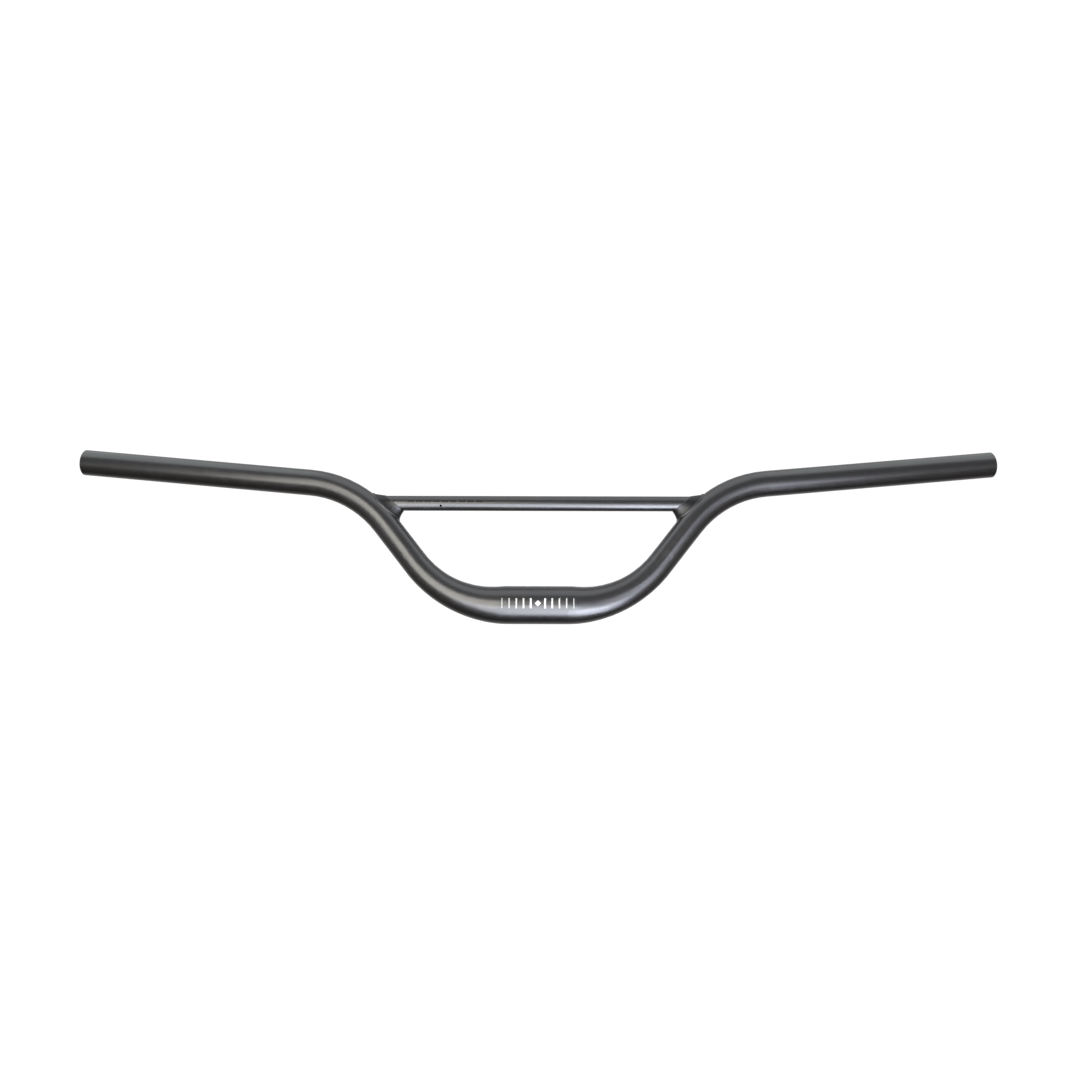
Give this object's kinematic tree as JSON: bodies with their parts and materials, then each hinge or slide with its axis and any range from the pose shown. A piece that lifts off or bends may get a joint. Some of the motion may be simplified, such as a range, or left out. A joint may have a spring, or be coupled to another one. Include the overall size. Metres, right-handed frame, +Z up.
{
  "type": "handlebar",
  "caption": "Satin charcoal aluminium riser handlebar with a bulged, tapered clamp centre, two bends a side, swept-back grip ends and a thin welded crossbar on flared feet.",
  "frame": {"origin": "middle of the stem clamp zone, on the tube's centreline", "axes": "+X along the clamp zone towards the right-hand end as seen from the front (the marks' side), +Z up, +Y towards the rider"},
  "size_m": [0.7998, 0.0855, 0.1481],
  "materials": {
    "bar_coating": "satin charcoal black anodised tube",
    "lug_coating": "satin charcoal black anodised, over a bead-blasted forging",
    "weld_coating": "satin charcoal black anodised weld metal with a rippled bead",
    "white_ink": "printed white ink",
    "black_ink": "printed black ink"
  },
  "bodies": {
    "root": {"main_tube": "bar_coating", "crossbar": "bar_coating", "right_crossbar_lug": "lug_coating", "left_crossbar_lug": "lug_coating", "right_lug_weld": "weld_coating", "left_lug_weld": "weld_coating", "right_crossbar_weld": "weld_coating", "left_crossbar_weld": "weld_coating", "right_clamp_ticks": "white_ink", "left_clamp_ticks": "white_ink", "centre_mark": "white_ink", "crossbar_dashes": "black_ink"}
  },
  "joints": []
}
